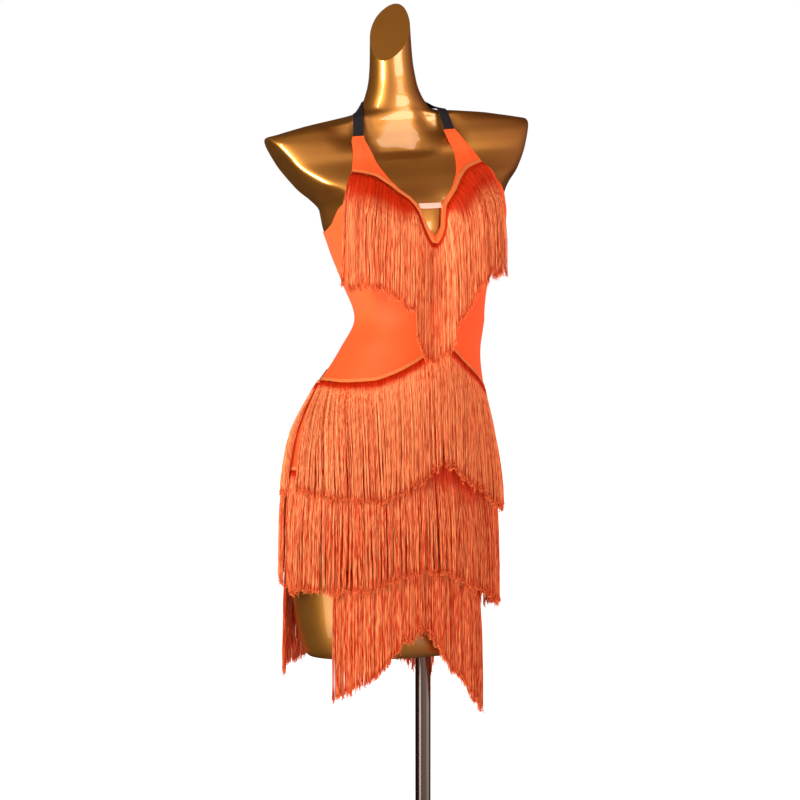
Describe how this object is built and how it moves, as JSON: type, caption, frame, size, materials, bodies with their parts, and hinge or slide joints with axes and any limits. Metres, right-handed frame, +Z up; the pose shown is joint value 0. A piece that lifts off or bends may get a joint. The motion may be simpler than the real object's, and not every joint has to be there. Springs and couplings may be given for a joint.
{
  "type": "latin dance dress on a limbless dress form",
  "caption": "Halter-neck latin dance dress with tiers of long fringe, held on a limbless torso form that stands on a pole and a round base plate.",
  "frame": {"origin": "centre of the base plate's underside, on the floor", "axes": "+Z up along the pole; -Y towards the front of the form and the dress; +X towards the wearer's left"},
  "size_m": [0.4304, 0.3628, 1.613],
  "materials": {
    "gold_lacquer": "metallic gold lacquer over a hollow moulded shell, glossy",
    "brushed_steel": "drawn steel with a fine satin grain",
    "orange_lycra": "matte nylon and elastane knit",
    "orange_fringe": "rayon chainette strands with a soft sheen",
    "black_elastic": "woven elastic webbing",
    "pink_elastic": "soft plush elastic"
  },
  "bodies": {
    "root": {"display_form": "gold_lacquer", "pole": "brushed_steel", "base_plate": "brushed_steel", "bodice_front": "orange_lycra", "bodice_back": "orange_lycra", "skirt_front": "orange_lycra", "skirt_back": "orange_lycra", "back_elastic": "black_elastic", "halter_strap": "black_elastic", "bridge_elastic": "pink_elastic", "bust_fringe": "orange_fringe", "hip_fringe_front": "orange_fringe", "hip_fringe_back": "orange_fringe", "middle_fringe_front": "orange_fringe", "middle_fringe_back": "orange_fringe", "hem_fringe_front": "orange_fringe", "hem_fringe_back": "orange_fringe"}
  },
  "joints": []
}
